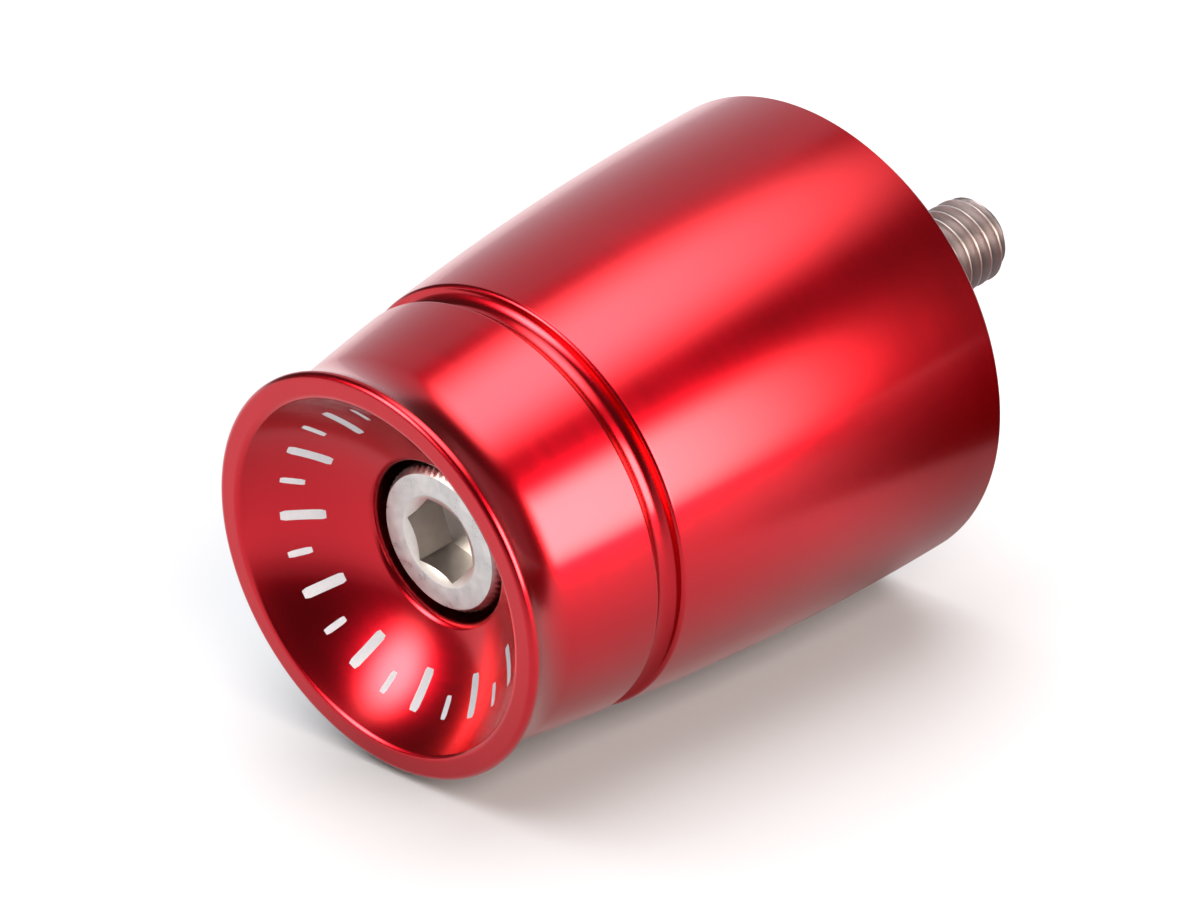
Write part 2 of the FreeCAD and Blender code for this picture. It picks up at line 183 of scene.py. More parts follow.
# %% [markdown]
# ## Light
# Polished metal shows its surroundings, so the lamps are half of the finish. The photo's metal
# mirrors three softboxes: one overhead and a little behind, which runs along the top of the barrel,
# one to the right of the camera, which runs along its lower side, and one to the left, in the dish.
# Between them is dark room, and dark strips between bright bands are what makes metal look like metal.
# Each softbox is an area lamp, set at its real direction. Its cloth is brightest in the middle and
# fades towards the frame, which the lamp's own small graph draws: it reads how far a spot of the
# cloth is from the middle. A lamp's brightness is written as the radiance at the middle of its cloth,
# where 1 is the white of the picture, and Blender is given the power that makes it.

# %% A softbox
def softbox(name, azimuth, elevation, distance, size, fade, radiance, colour="FFF6EC", rounded=False):
    """A lamp that faces the object. Its cloth dims over the outer share, fade, of each half side.

    A rounded one dims the same way towards its corners as towards its sides.
    """
    width, height = size
    data = bpy.data.lights.new(name, "AREA")
    data.shape = "RECTANGLE"
    data.size = width
    data.size_y = height
    data.energy = 4 * width * height * radiance
    lamp = bpy.data.objects.new(name, data)
    bpy.context.scene.collection.objects.link(lamp)
    lamp.location = around(azimuth, elevation, distance)
    aim(lamp, AXIS_MIDDLE)
    lamp.visible_camera = False
    data.color = linear(colour)[:3]

    data.use_nodes = True
    tree = data.node_tree
    tree.nodes.clear()
    place = add_node(tree, "ShaderNodeTexCoord", object=lamp)
    spot = add_node(tree, "ShaderNodeVectorMath", {
        0: place.outputs["Object"],
        1: (2 / width, 2 / height, 0),
    }, operation="MULTIPLY")
    if rounded:
        length = add_node(tree, "ShaderNodeVectorMath", {0: spot.outputs["Vector"]}, operation="LENGTH")
        offs = [(length.outputs["Value"], fade[0])]
    else:
        split = add_node(tree, "ShaderNodeSeparateXYZ", {"Vector": spot.outputs["Vector"]})
        offs = [(split.outputs["X"], fade[0]), (split.outputs["Y"], fade[1])]
    shares = []
    for off, dims in offs:
        side = add_node(tree, "ShaderNodeMath", {0: off}, operation="ABSOLUTE")
        share = add_node(tree, "ShaderNodeMapRange", {
            "Value": side.outputs["Value"],
            "From Min": 1 - dims,
            "From Max": 1.0,
            "To Min": 1.0,
            "To Max": 0.0,
        }, interpolation_type="SMOOTHSTEP")
        shares.append(share.outputs["Result"])
    strength = add_node(tree, "ShaderNodeMath", {0: shares[0], 1: shares[-1]}, operation="MULTIPLY")
    glow = add_node(tree, "ShaderNodeEmission", {"Strength": strength.outputs["Value"]})
    add_node(tree, "ShaderNodeOutputLight", {"Surface": glow.outputs["Emission"]})
    print(f"{name}: {width:.2f} x {height:.2f} m, {data.energy:.1f} W")
    return lamp


# %% [markdown]
# The three softboxes show in the metal only, so moving one of them never changes the floor. Two dim
# walls stand for the room, one behind on the left and one straight behind, so that the metal which
# looks that way isn't black.

# %% The lamps that the metal shows
OVERHEAD_BACK = 0.115  # metres towards the rear, which puts its band on the barrel as in the photo

overhead = softbox(
    "overhead", azimuth=90, elevation=86, distance=0.6,
    size=(0.98, 0.77), fade=(0.88, 0.9), radiance=8.2)
overhead.location.y += OVERHEAD_BACK
right_box = softbox(
    "right_box", azimuth=94.6, elevation=15.5, distance=0.7,
    size=(0.81, 0.60), fade=(0.6, 0.6), radiance=18.0, colour="FFEFDC")
left_box = softbox(
    "left_box", azimuth=-25.5, elevation=33, distance=0.7,
    size=(0.62, 0.84), fade=(0.85, 0.85), radiance=15.5, rounded=True)
for lamp in (overhead, right_box, left_box):
    lamp.visible_diffuse = False
softbox(
    "left_wall", azimuth=231, elevation=22, distance=0.9,
    size=(0.75, 1.15), fade=(0.3, 0.3), radiance=0.6, colour="F4F6FF")
softbox(
    "rear_wall", azimuth=165, elevation=12, distance=0.9,
    size=(1.0, 0.6), fade=(0.4, 0.4), radiance=0.25, colour="F4F6FF")

# %% [markdown]
# The floor and the ticks are matt, so they only need soft light. A broad ceiling gives it, and a warm
# fill from the camera's side lifts the shadow in front. Neither shows in the metal. The fill also
# stands for the light that the red metal throws on the floor, which takes very long to trace.

# %% Soft light for the floor
ceiling = softbox(
    "ceiling", azimuth=-110, elevation=66, distance=1.4,
    size=(3.0, 3.0), fade=(0.3, 0.3), radiance=3.05, colour="FCFCFF")
front_fill = softbox(
    "front_fill", azimuth=80, elevation=28, distance=1.2,
    size=(1.6, 1.2), fade=(0.1, 0.1), radiance=6.1, colour="FFE9E2")
for lamp in (ceiling, front_fill):
    lamp.visible_glossy = False

# %% [markdown]
# Three dark cards lie on the floor, because a mirror needs something to show. They are painted shade:
# the metal mirrors them where it should mirror shaded floor. The rear one starts under the weight and
# dims the paper behind it. The red one lies on that, further to the right, where the photo's barrel is
# nearly black and ends in a clear line against the lighter floor. It is a painted reflection of the
# dark second weight, which is left out, and of its shadow. The front one takes over from the paper on
# the camera's side, because the dish reflects a floor that darkens towards the camera. A card only has
# to be seen in the metal, so the camera, the soft light and the shadows pass it by.

# %% Dark paper for painted shade
def shade_paper(name, tone, fade, length, side_fade):
    """Matt paper for painted shade, fading in from its near edge and from the far end of that edge (metres).
    """
    material, tree = new_material(name)
    place = add_node(tree, "ShaderNodeTexCoord")
    split = add_node(tree, "ShaderNodeSeparateXYZ", {"Vector": place.outputs["Object"]})
    from_edge = add_node(tree, "ShaderNodeMapRange", {
        "Value": split.outputs["Y"],
        "From Min": 0.0,
        "From Max": fade,
    }, interpolation_type="SMOOTHSTEP")
    cover = add_node(tree, "ShaderNodeMapRange", {
        "Value": split.outputs["X"],
        "From Min": length,
        "From Max": length - side_fade,
        "To Max": from_edge.outputs["Result"],
    }, interpolation_type="SMOOTHSTEP")
    clear = add_node(tree, "ShaderNodeBsdfTransparent")
    dark = add_node(tree, "ShaderNodeBsdfPrincipled", {
        "Base Color": linear(tone),
        "Roughness": 1.0,
        "Specular IOR Level": 0.0,
    })
    blend = add_node(tree, "ShaderNodeMixShader", {
        0: cover.outputs["Result"],
        1: clear.outputs["BSDF"],
        2: dark.outputs["BSDF"],
    })
    add_node(tree, "ShaderNodeOutputMaterial", {"Surface": blend.outputs["Shader"]})
    return material


# %% Cards of painted shade on the floor
CARD_LIFT = 0.3 * MM


def lay_shade_card(name, start, turn, size, fade, tone, layer=1, side_fade=1):
    """A card of painted shade on the floor, in mm and degrees. Its near edge runs from start at an angle
    from +X.
    """
    length, width = size[0] * MM, size[1] * MM
    mesh = bpy.data.meshes.new(name)
    mesh.from_pydata([(0, 0, 0), (length, 0, 0), (length, width, 0), (0, width, 0)], [], [(0, 1, 2, 3)])
    mesh.materials.append(shade_paper(name, tone, fade * MM, length, side_fade * MM))
    card = bpy.data.objects.new(name, mesh)
    bpy.context.scene.collection.objects.link(card)
    level = Matrix.Rotation(math.radians(-FLOOR_TILT), 3, "X")
    card.rotation_euler = (level @ Matrix.Rotation(math.radians(turn), 3, "Z")).to_euler()
    card.location = floor.location + level @ Vector((start[0] * MM, start[1] * MM, CARD_LIFT * layer))
    card.visible_camera = False
    card.visible_diffuse = False
    card.visible_shadow = False
    print(f"{name}: {size[0]} x {size[1]} mm")


# Each card is painted shade, which only the metal shows.
lay_shade_card("rear_shade_card", start=(-3, -20), turn=25, size=(450, 350), fade=18, tone="787474")
lay_shade_card("red_shade_card", start=(-15.3, 55.3), turn=-49, size=(94, 1500), fade=5, tone="480408", layer=2,
         side_fade=36)
lay_shade_card("front_shade_card", start=(446, 401), turn=226, size=(1200, 900), fade=90, tone="787474")

# %% [markdown]
# The room itself is dim. The picture is shown with the plain sRGB curve, which keeps a saturated red
# as saturated as it is. Light that metal throws on the floor is switched off, because the warm fill
# gives the shadow its tint without the bright specks that such light leaves in a quick picture.

# %% The room
world = bpy.data.worlds.new("room")
world.use_nodes = True
background = world.node_tree.nodes["Background"]
background.inputs["Color"].default_value = linear("FFE9DF")
background.inputs["Strength"].default_value = 0.09
bpy.context.scene.world = world
bpy.context.scene.view_settings.view_transform = "Standard"
bpy.context.scene.cycles.caustics_reflective = False

# %% [markdown]
# ## Red anodised aluminium
# Anodising grows a clear, hard layer of oxide on the aluminium, and dye fills its pores. The metal
# under the dye still reflects, so the colour belongs to the reflections: this is a metal with a red
# base colour, not a red paint. The clear surface of the layer adds a thin white reflection of its
# own, which the shader's coat gives, and it is sharper than the metal below it. The weight was
# polished in strokes along its length before it went into the dye. A mirror image smears across
# such strokes, so here it smears round the axis: that is anisotropy. Faint rings of the turning tool
# are left, and they only change how sharply a spot mirrors.

# %% Distance from the turning axis
def from_axis(tree):
    """An object's coordinates, a spot's place along the turning axis, and its distance from it."""
    place = add_node(tree, "ShaderNodeTexCoord")
    split = add_node(tree, "ShaderNodeSeparateXYZ", {"Vector": place.outputs["Object"]})
    across = add_node(tree, "ShaderNodeCombineXYZ", {"X": split.outputs["X"], "Y": split.outputs["Z"]})
    radius = add_node(tree, "ShaderNodeVectorMath", {0: across.outputs["Vector"]}, operation="LENGTH")
    return place.outputs["Object"], split.outputs["Y"], radius.outputs["Value"]


# %% Turned, polished and dyed aluminium
def red_anodised_aluminium():
    """Turned aluminium, anodised and dyed red: sharp enough to mirror a lamp's edges softly."""
    material, tree = new_material("red_anodised_aluminium")
    place, along_axis, radius = from_axis(tree)
    rings = add_node(tree, "ShaderNodeCombineXYZ", {"X": radius, "Y": along_axis})
    # The feed of a finishing cut is about 0.05 mm. It is drawn at 0.6 mm, which the picture can show.
    feed = add_node(tree, "ShaderNodeTexNoise", {
        "Vector": rings.outputs["Vector"],
        "Scale": 1 / (0.6 * MM),
        "Detail": 1.0,
    })
    # Soft clouds in the oxide, a few millimetres wide.
    clouds = add_node(tree, "ShaderNodeTexNoise", {
        "Vector": place,
        "Scale": 1 / (6 * MM),
        "Detail": 3.0,
    })
    mixed = add_node(tree, "ShaderNodeMath", {
        0: feed.outputs["Fac"],
        1: clouds.outputs["Fac"],
    }, operation="ADD")
    roughness = add_node(tree, "ShaderNodeMapRange", {
        "Value": mixed.outputs["Value"],
        "From Min": 0.6,
        "From Max": 1.4,
        "To Min": 0.225,
        "To Max": 0.257,
    })
    dye = add_node(tree, "ShaderNodeMapRange", {
        "Value": clouds.outputs["Fac"],
        "From Min": 0.3,
        "From Max": 0.7,
    })
    colour = add_node(tree, "ShaderNodeMix", {
        "Factor": dye.outputs["Result"],
        "A": linear("AC061A"),
        "B": linear("B2071C"),
    }, data_type="RGBA")
    along = add_node(tree, "ShaderNodeTangent", direction_type="RADIAL", axis="Y")
    shader = add_node(tree, "ShaderNodeBsdfPrincipled", {
        "Base Color": colour.outputs["Result"],
        "Metallic": 1.0,
        "Roughness": roughness.outputs["Result"],
        "Anisotropic": 0.44,
        "Tangent": along.outputs["Tangent"],
        "Coat Weight": 0.46,
        "Coat Roughness": 0.15,
    })
    add_node(tree, "ShaderNodeOutputMaterial", {"Surface": shader.outputs["BSDF"]})
    return material


# %% [markdown]
# ## The turned weight
# A lathe makes the weight: every cut is a straight line or an arc that sweeps round the axis. So the
# shape is a profile, a chain of cuts in one plane, where a point is a distance from the axis and a
# place along it. The whole outside, from the rear face to the neck, lies on one long curve, and the
# ring groove is cut across it. Each cut knows which way its surface looks, and those directions go
# into the mesh as its normals. Then a highlight runs over a rounding as it does on the metal.

# %% Sizes of the weight
REAR_RADIUS = 16.25 * MM
REAR_BEVEL = 0.4 * MM
RIM_RADIUS = 13.7 * MM
RIM_PLACE = body_low.y
RIM_LAND = 0.5 * MM
RIM_ROUND = 0.42 * MM
LONG_CURVE_END = RIM_RADIUS - 1.32 * MM
COVE_RADIUS = 5.2 * MM
RING_PLACE = -28.8 * MM
RING_FLOOR = 0.95 * MM
RING_EDGE_REAR = 0.3 * MM
RING_EDGE_FRONT = 0.2 * MM
DISH_BALL = 14.4 * MM
DISH_MOUTH = 12.1 * MM
LIP_ROUND = 0.55 * MM
HEAD_BORE = 5.5 * MM
HEAD_BORE_ROUND = 0.6 * MM
SHANK_BORE = 3.3 * MM
SEAT_PLACE = -28.6 * MM
SEAT_BEVEL = 0.3 * MM
EXIT_BEVEL = 0.5 * MM
DISH_CENTRE = RIM_PLACE - math.sqrt(DISH_BALL**2 - DISH_MOUTH**2)
print(f"{2 * REAR_RADIUS / MM:.1f} mm across the rear face, {2 * RIM_RADIUS / MM:.1f} mm across the rim")


# %% Circles that touch
def crossing(centre_a, radius_a, centre_b, radius_b, side):
    """Where two circles cross, on the left (1) or the right (-1) of the way from one to the other."""
    way = centre_b - centre_a
    along = (way.length**2 + radius_a**2 - radius_b**2) / (2 * way.length)
    aside = math.sqrt(radius_a**2 - along**2)
    unit = way.normalized()
    return centre_a + unit * along + Vector((-unit.y, unit.x)) * aside * side


def towards(start, target, distance):
    """The point that lies that far from start on the way to target."""
    return start + (target - start).normalized() * distance


# %% Cuts
CUT_ANGLE = math.radians(5)
CUT_LENGTH = 1 * MM


def straight(start, finish):
    """A straight cut: its two ends, each with the way the surface looks there."""
    along = (finish - start).normalized()
    out = Vector((-along.y, along.x))
    return [(start, out), (finish, out)]


def curved(start, finish, centre):
    """A round cut about a centre, the short way, in steps of a few degrees or a millimetre."""
    radius = (start - centre).length
    first = math.atan2(start.y - centre.y, start.x - centre.x)
    last = math.atan2(finish.y - centre.y, finish.x - centre.x)
    turn = (last - first + math.pi) % (2 * math.pi) - math.pi
    count = math.ceil(max(abs(turn) / CUT_ANGLE, abs(turn) * radius / CUT_LENGTH))
    # A cut that turns to the right bulges outwards, and one that turns to the left is hollow.
    bulge = -math.copysign(1, turn)
    rows = []
    for k in range(count + 1):
        angle = first + turn * k / count
        spoke = Vector((math.cos(angle), math.sin(angle)))
        rows.append((centre + spoke * radius, spoke * bulge))
    return rows


# %% The weight's profile
def weight_profile():
    """The weight's cuts, from the rear face along the outside, into the dish and back down the bore."""
    drop = REAR_RADIUS - LONG_CURVE_END
    long_radius = (drop**2 + RIM_PLACE**2) / (2 * drop)
    print(f"the long curve's radius is {long_radius / MM:.1f} mm")
    long = Vector((REAR_RADIUS - long_radius, 0))
    barrel = Vector((long.x + math.sqrt(long_radius**2 - REAR_BEVEL**2), -REAR_BEVEL))
    ring = Vector((long.x + math.sqrt(long_radius**2 - RING_PLACE**2), RING_PLACE))
    behind = crossing(long, long_radius - RING_EDGE_REAR, ring, RING_FLOOR + RING_EDGE_REAR, 1)
    ahead = crossing(long, long_radius - RING_EDGE_FRONT, ring, RING_FLOOR + RING_EDGE_FRONT, -1)
    land = Vector((RIM_RADIUS, RIM_PLACE + RIM_LAND))
    cove = crossing(long, long_radius + COVE_RADIUS, land, COVE_RADIUS, 1)
    rim = Vector((RIM_RADIUS - RIM_ROUND, RIM_PLACE + RIM_ROUND))
    ball = Vector((0, DISH_CENTRE))
    lip_place = RIM_PLACE + LIP_ROUND
    lip = Vector((math.sqrt((DISH_BALL + LIP_ROUND)**2 - (lip_place - ball.y)**2), lip_place))
    mouth_x = HEAD_BORE + HEAD_BORE_ROUND
    mouth = Vector((mouth_x, ball.y + math.sqrt((DISH_BALL + HEAD_BORE_ROUND)**2 - mouth_x**2)))

    corners = [
        (Vector((SHANK_BORE + EXIT_BEVEL, 0)), None),
        (Vector((REAR_RADIUS - REAR_BEVEL, 0)), None),
        (barrel, long),
        (towards(long, behind, long_radius), behind),
        (towards(ring, behind, RING_FLOOR), ring),
        (towards(ring, ahead, RING_FLOOR), ahead),
        (towards(long, ahead, long_radius), long),
        (towards(long, cove, long_radius), cove),
        (land, None),
        (Vector((RIM_RADIUS, rim.y)), rim),
        (Vector((rim.x, RIM_PLACE)), None),
        (Vector((lip.x, RIM_PLACE)), lip),
        (towards(ball, lip, DISH_BALL), ball),
        (towards(ball, mouth, DISH_BALL), mouth),
        (Vector((HEAD_BORE, mouth.y)), None),
        (Vector((HEAD_BORE, SEAT_PLACE)), None),
        (Vector((SHANK_BORE + SEAT_BEVEL, SEAT_PLACE)), None),
        (Vector((SHANK_BORE, SEAT_PLACE + SEAT_BEVEL)), None),
        (Vector((SHANK_BORE, -EXIT_BEVEL)), None),
    ]
    cuts = []
    for (start, centre), (finish, _) in zip(corners, corners[1:] + corners[:1]):
        cuts.append(straight(start, finish) if centre is None else curved(start, finish, centre))
    return cuts


# %% The lathe
STEPS_ROUND = 240
# The angles of a row's points, from the X axis towards the Z axis, both ends included.
TURN_ANGLES = [2 * math.pi * k / STEPS_ROUND for k in range(STEPS_ROUND + 1)]


def lathe(name, cuts):
    """A closed mesh object, swept round the axis from a closed chain of cuts, with their normals."""
    places = [point for cut in cuts for point, _ in cut[:-1]]
    spokes = [(math.cos(angle), math.sin(angle)) for angle in TURN_ANGLES[:-1]]
    points = [(place.x * c, place.y, place.x * s) for place in places for c, s in spokes]
    faces = []
    normals = []
    row = 0
    for cut in cuts:
        for (_, out), (_, next_out) in zip(cut, cut[1:]):
            here = row * STEPS_ROUND
            following = (row + 1) % len(places) * STEPS_ROUND
            for k in range(STEPS_ROUND):
                beside = (k + 1) % STEPS_ROUND
                faces.append((here + k, here + beside, following + beside, following + k))
                for way, corner in ((out, k), (out, beside), (next_out, beside), (next_out, k)):
                    c, s = spokes[corner]
                    normals.append((way.x * c, way.y, way.x * s))
            row += 1
    mesh = bpy.data.meshes.new(name)
    mesh.from_pydata(points, [], faces)
    mesh.shade_smooth()
    mesh.normals_split_custom_set(normals)
    piece = bpy.data.objects.new(name, mesh)
    bpy.context.scene.collection.objects.link(piece)
    print(f"{name}: {len(places)} rows, {len(faces)} faces")
    return piece


turned_weight = lathe("turned_weight", weight_profile())
turned_weight.data.materials.append(red_anodised_aluminium())
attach(turned_weight, "root")
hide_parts("weight_body")

# %% [markdown]
# ## Stainless steel
# The screw is cold-headed from stainless wire, its thread is rolled, and then it is tumbled clean.
# That leaves a bright but satin metal with no grain direction, a slightly warm grey, and shallow
# duller dents where screws knocked together in the drum.

# %% Steel
def tumbled_stainless_steel():
    """Stainless steel, tumbled: satin, with shallow dents about a millimetre wide."""
    material, tree = new_material("tumbled_stainless_steel")
    place = add_node(tree, "ShaderNodeTexCoord")
    dents = add_node(tree, "ShaderNodeTexNoise", {
        "Vector": place.outputs["Object"],
        "Scale": 1 / (0.9 * MM),
        "Detail": 1.0,
    })
    tone = add_node(tree, "ShaderNodeMix", {
        "Factor": dents.outputs["Fac"],
        "A": linear("9FA09F"),
        "B": linear("D6D7D6"),
    }, data_type="RGBA")
    roughness = add_node(tree, "ShaderNodeMapRange", {
        "Value": dents.outputs["Fac"],
        "From Min": 0.3,
        "From Max": 0.7,
        "To Min": 0.26,
        "To Max": 0.40,
    })
    hollows = add_node(tree, "ShaderNodeBump", {
        "Height": dents.outputs["Fac"],
        "Strength": 0.6,
        "Distance": 0.015 * MM,
    })
    shader = add_node(tree, "ShaderNodeBsdfPrincipled", {
        "Base Color": tone.outputs["Result"],
        "Metallic": 1.0,
        "Roughness": roughness.outputs["Result"],
        "Normal": hollows.outputs["Normal"],
    })
    add_node(tree, "ShaderNodeOutputMaterial", {"Surface": shader.outputs["BSDF"]})
    return material


# %% [markdown]
# A thread's grooves and the socket's floor lie deep, and few lamps reach the bottom of either. So both
# have painted shade: the same steel, darker the nearer a spot lies to the axis, which is the thread's
# root and the socket's floor. One function makes both, from two tones and two distances.

# %% Steel with painted shade
def shaded_recess_steel(name, shade_tone, lit_tone, inner, outer):
    """Stainless steel with painted shade that fades from one distance from the axis to another."""
    material, tree = new_material(name)
    place, _, radius = from_axis(tree)
    edge_noise = add_node(tree, "ShaderNodeTexNoise", {
        "Vector": place,
        "Scale": 1 / (0.5 * MM),
        "Detail": 3.0,
    })
    # The noise moves the edge of the painted shade by up to a sixth of its width.
    wander = (outer - inner) / 6
    shift = add_node(tree, "ShaderNodeMapRange", {
        "Value": edge_noise.outputs["Fac"],
        "To Min": -wander,
        "To Max": wander,
    })
    level = add_node(tree, "ShaderNodeMath", {
        0: radius,
        1: shift.outputs["Result"],
    }, operation="ADD")
    # Painted shade: the tone is darker the nearer a spot lies to the axis.
    lit_share = add_node(tree, "ShaderNodeMapRange", {
        "Value": level.outputs["Value"],
        "From Min": inner,
        "From Max": outer,
    })
    tone = add_node(tree, "ShaderNodeMix", {
        "Factor": lit_share.outputs["Result"],
        "A": linear(shade_tone),
        "B": linear(lit_tone),
    }, data_type="RGBA")
    shader = add_node(tree, "ShaderNodeBsdfPrincipled", {
        "Base Color": tone.outputs["Result"],
        "Metallic": 1.0,
        "Roughness": 0.4,
    })
    add_node(tree, "ShaderNodeOutputMaterial", {"Surface": shader.outputs["BSDF"]})
    return material


# %% [markdown]
# ## The screw's skin
# Every surface of the screw can be written as a distance from the axis for each angle and each place
# along it: round for the shank, six-sided for the socket, toothed for the knurling and spiral for the
# thread. So the mesh is a grid of rows, one after another from the bottom of the socket out over the
# head and along to the tip. A row has one more point than it has steps, because its last point lies
# on its first, or for the thread on the first point of the turn before. Points that lie together are
# merged at the end, which closes the skin.

# %% Sizes of an M6 socket cap screw
HEAD_RADIUS = screw_high.x
FACE_PLACE = screw_low.y
TIP_PLACE = screw_high.y
SHANK_RADIUS = 2.675 * MM
THREAD_RADIUS = 3 * MM
THREAD_ROOT = 2.387 * MM
THREAD_PITCH = 1 * MM
THREAD_START = -4 * MM
TIP_BEVEL = 0.9 * MM
HEAD_BEVEL = 0.4 * MM
SOCKET_FLATS = 5 * MM
SOCKET_DEPTH = 3 * MM
SOCKET_MOUTH = 3.1 * MM
LEAD_IN_SLOPE = math.tan(math.radians(30))
SOCKET_TURN = math.radians(45)
SOCKET_CONE = 0.35 * MM  # how much deeper the middle of its floor is
FLOOR_EDGE = 0.5 * MM
FLOOR_EDGE_DEPTH = 0.05 * MM
FACE_EDGE = 0.1 * MM
FACE_EDGE_DROP = 0.02 * MM
KNURL_TEETH = 60
KNURL_DEPTH = 0.14 * MM
KNURL_RUN_IN = (-0.05 * MM, 0.1 * MM)  # where the teeth grow, from the end of the head's bevel
KNURL_RUN_OUT = (0.6 * MM, 0.4 * MM)  # where they end, short of the seat
SEAT_CHAMFER = 0.3 * MM
NECK_FILLET = 0.25 * MM
print(f"head {2 * HEAD_RADIUS / MM:.1f} mm, M{2 * THREAD_RADIUS / MM:.0f} x {THREAD_PITCH / MM:.1f}")


# %% Rows into a skin
MERGE_WITHIN = 2e-7  # metres
SLIVER = 1e-7  # metres
SHARP_FROM = math.radians(32)


def row_of(radius_at, place_at):
    """A row of points from a radius and a place along the axis, each a number or a function of angle."""
    points = []
    for angle in TURN_ANGLES:
        radius = radius_at(angle) if callable(radius_at) else radius_at
        place = place_at(angle) if callable(place_at) else place_at
        points.append(Vector((radius * math.cos(angle), place, radius * math.sin(angle))))
    return points


def skin(name, rows):
    """A closed mesh object over rows of points."""
    form = bmesh.new()
    grid = [[form.verts.new(point) for point in row] for row in rows]
    for row, following in zip(grid, grid[1:]):
        for k in range(STEPS_ROUND):
            form.faces.new((row[k], row[k + 1], following[k + 1], following[k]))
    bmesh.ops.remove_doubles(form, verts=form.verts, dist=MERGE_WITHIN)
    bmesh.ops.dissolve_degenerate(form, edges=form.edges, dist=SLIVER)
    bmesh.ops.recalc_face_normals(form, faces=form.faces)
    mesh = bpy.data.meshes.new(name)
    form.to_mesh(mesh)
    form.free()
    mesh.shade_smooth()
    mesh.set_sharp_from_angle(angle=SHARP_FROM)
    piece = bpy.data.objects.new(name, mesh)
    bpy.context.scene.collection.objects.link(piece)
    print(f"{name}: {len(mesh.polygons)} faces")
    return piece


# %% [markdown]
# ### The head
# A key of 5 mm fits the socket. A shallow cone leads the key in, so the six flats meet the cone in
# six arches. The side of the head is knurled for fingers, with teeth half a millimetre apart.

# %% Head
def socket_wall(angle):
    """Distance from the axis to the six-sided wall."""
    sixth = math.pi / 3
    return SOCKET_FLATS / 2 / math.cos((angle - SOCKET_TURN) % sixth - sixth / 2)


def socket_arch(angle):
    """Place along the axis where the leading cone, 120 degrees wide, meets the wall."""
    return FACE_PLACE + (SOCKET_MOUTH - socket_wall(angle)) * LEAD_IN_SLOPE


def knurl(angle):
    """Distance from the axis to the toothed side: two steps up, two steps down for each tooth."""
    share = (angle / (2 * math.pi) * KNURL_TEETH) % 1.0
    return HEAD_RADIUS - KNURL_DEPTH * abs(2 * share - 1)


def head_rows():
    """Rows from the middle of the socket's floor out over the face and down to the shank."""
    floor_place = FACE_PLACE + SOCKET_DEPTH
    bevel_place = FACE_PLACE + HEAD_BEVEL
    run_in_start, run_in_end = KNURL_RUN_IN
    run_out_start, run_out_end = KNURL_RUN_OUT
    return [
        row_of(0, floor_place + SOCKET_CONE),
        row_of(lambda angle: socket_wall(angle) - FLOOR_EDGE, floor_place + FLOOR_EDGE_DEPTH),
        row_of(socket_wall, floor_place),
        row_of(socket_wall, socket_arch),
        row_of(SOCKET_MOUTH, FACE_PLACE),
        row_of(SOCKET_MOUTH + FACE_EDGE, FACE_PLACE),
        row_of(HEAD_RADIUS - HEAD_BEVEL - FACE_EDGE, FACE_PLACE),
        row_of(HEAD_RADIUS - HEAD_BEVEL, FACE_PLACE + FACE_EDGE_DROP),
        row_of(HEAD_RADIUS - KNURL_DEPTH, bevel_place + run_in_start),
        row_of(knurl, bevel_place + run_in_end),
        row_of(knurl, SEAT_PLACE - run_out_start),
        row_of(HEAD_RADIUS - KNURL_DEPTH, SEAT_PLACE - run_out_end),
        row_of(HEAD_RADIUS - SEAT_CHAMFER, SEAT_PLACE),
        row_of(SHANK_RADIUS + NECK_FILLET, SEAT_PLACE),
        row_of(SHANK_RADIUS, SEAT_PLACE + NECK_FILLET),
        row_of(SHANK_RADIUS, THREAD_START),
    ]


# %% [markdown]
# ### The thread
# A metric thread has flanks at 60 degrees, a narrow flat crest and a wider root. Its rows follow the
# spiral itself, seven to each turn, so the crest is a clean line and not a staircase. It is a
# right-hand thread: it moves on towards the tip as it turns from the Z axis towards the X axis. Where
# the spiral would pass the start or the tip, its points are held back to that place, and they merge
# there into a plain ring.

# %% Thread
# Each pair is a share of the pitch, and the share of the thread's height that it reaches there.
THREAD_SECTION = [
    (0.0, 1.0),
    (0.125, 1.0),
    (0.28, 0.5),
    (0.4375, 0.03),
    (0.5625, 0.0),
    (0.6875, 0.03),
    (0.845, 0.5),
]


def thread_rows():
    """Rows of the thread, from its start inside the bore to the tip."""
    turns = math.ceil((TIP_PLACE - THREAD_START) / THREAD_PITCH) + 1
    rows = []
    for turn in range(turns + 1):
        for share, height in THREAD_SECTION:
            points = []
            for angle in TURN_ANGLES:
                free = THREAD_START + (turn + share - angle / (2 * math.pi)) * THREAD_PITCH
                place = min(max(free, THREAD_START), TIP_PLACE)
                full = THREAD_ROOT + (THREAD_RADIUS - THREAD_ROOT) * height
                grown = min((place - THREAD_START) / THREAD_PITCH, 1.0)
                radius = SHANK_RADIUS + (full - SHANK_RADIUS) * grown
                radius = min(radius, THREAD_RADIUS - TIP_BEVEL + TIP_PLACE - place)
                points.append(Vector((radius * math.cos(angle), place, radius * math.sin(angle))))
            rows.append(points)
    return rows


# %% [markdown]
# ### The whole screw
# The skin is closed over the head's rows, the thread's rows and one point in the middle of the tip.
# Then each face gets one of three finishes: the socket's and the thread's faces are picked by where
# they lie and get steel with painted shade, and the rest is plain tumbled steel.

# %% The screw and its three finishes
SHADED_THREAD = 1
SHADED_SOCKET = 2

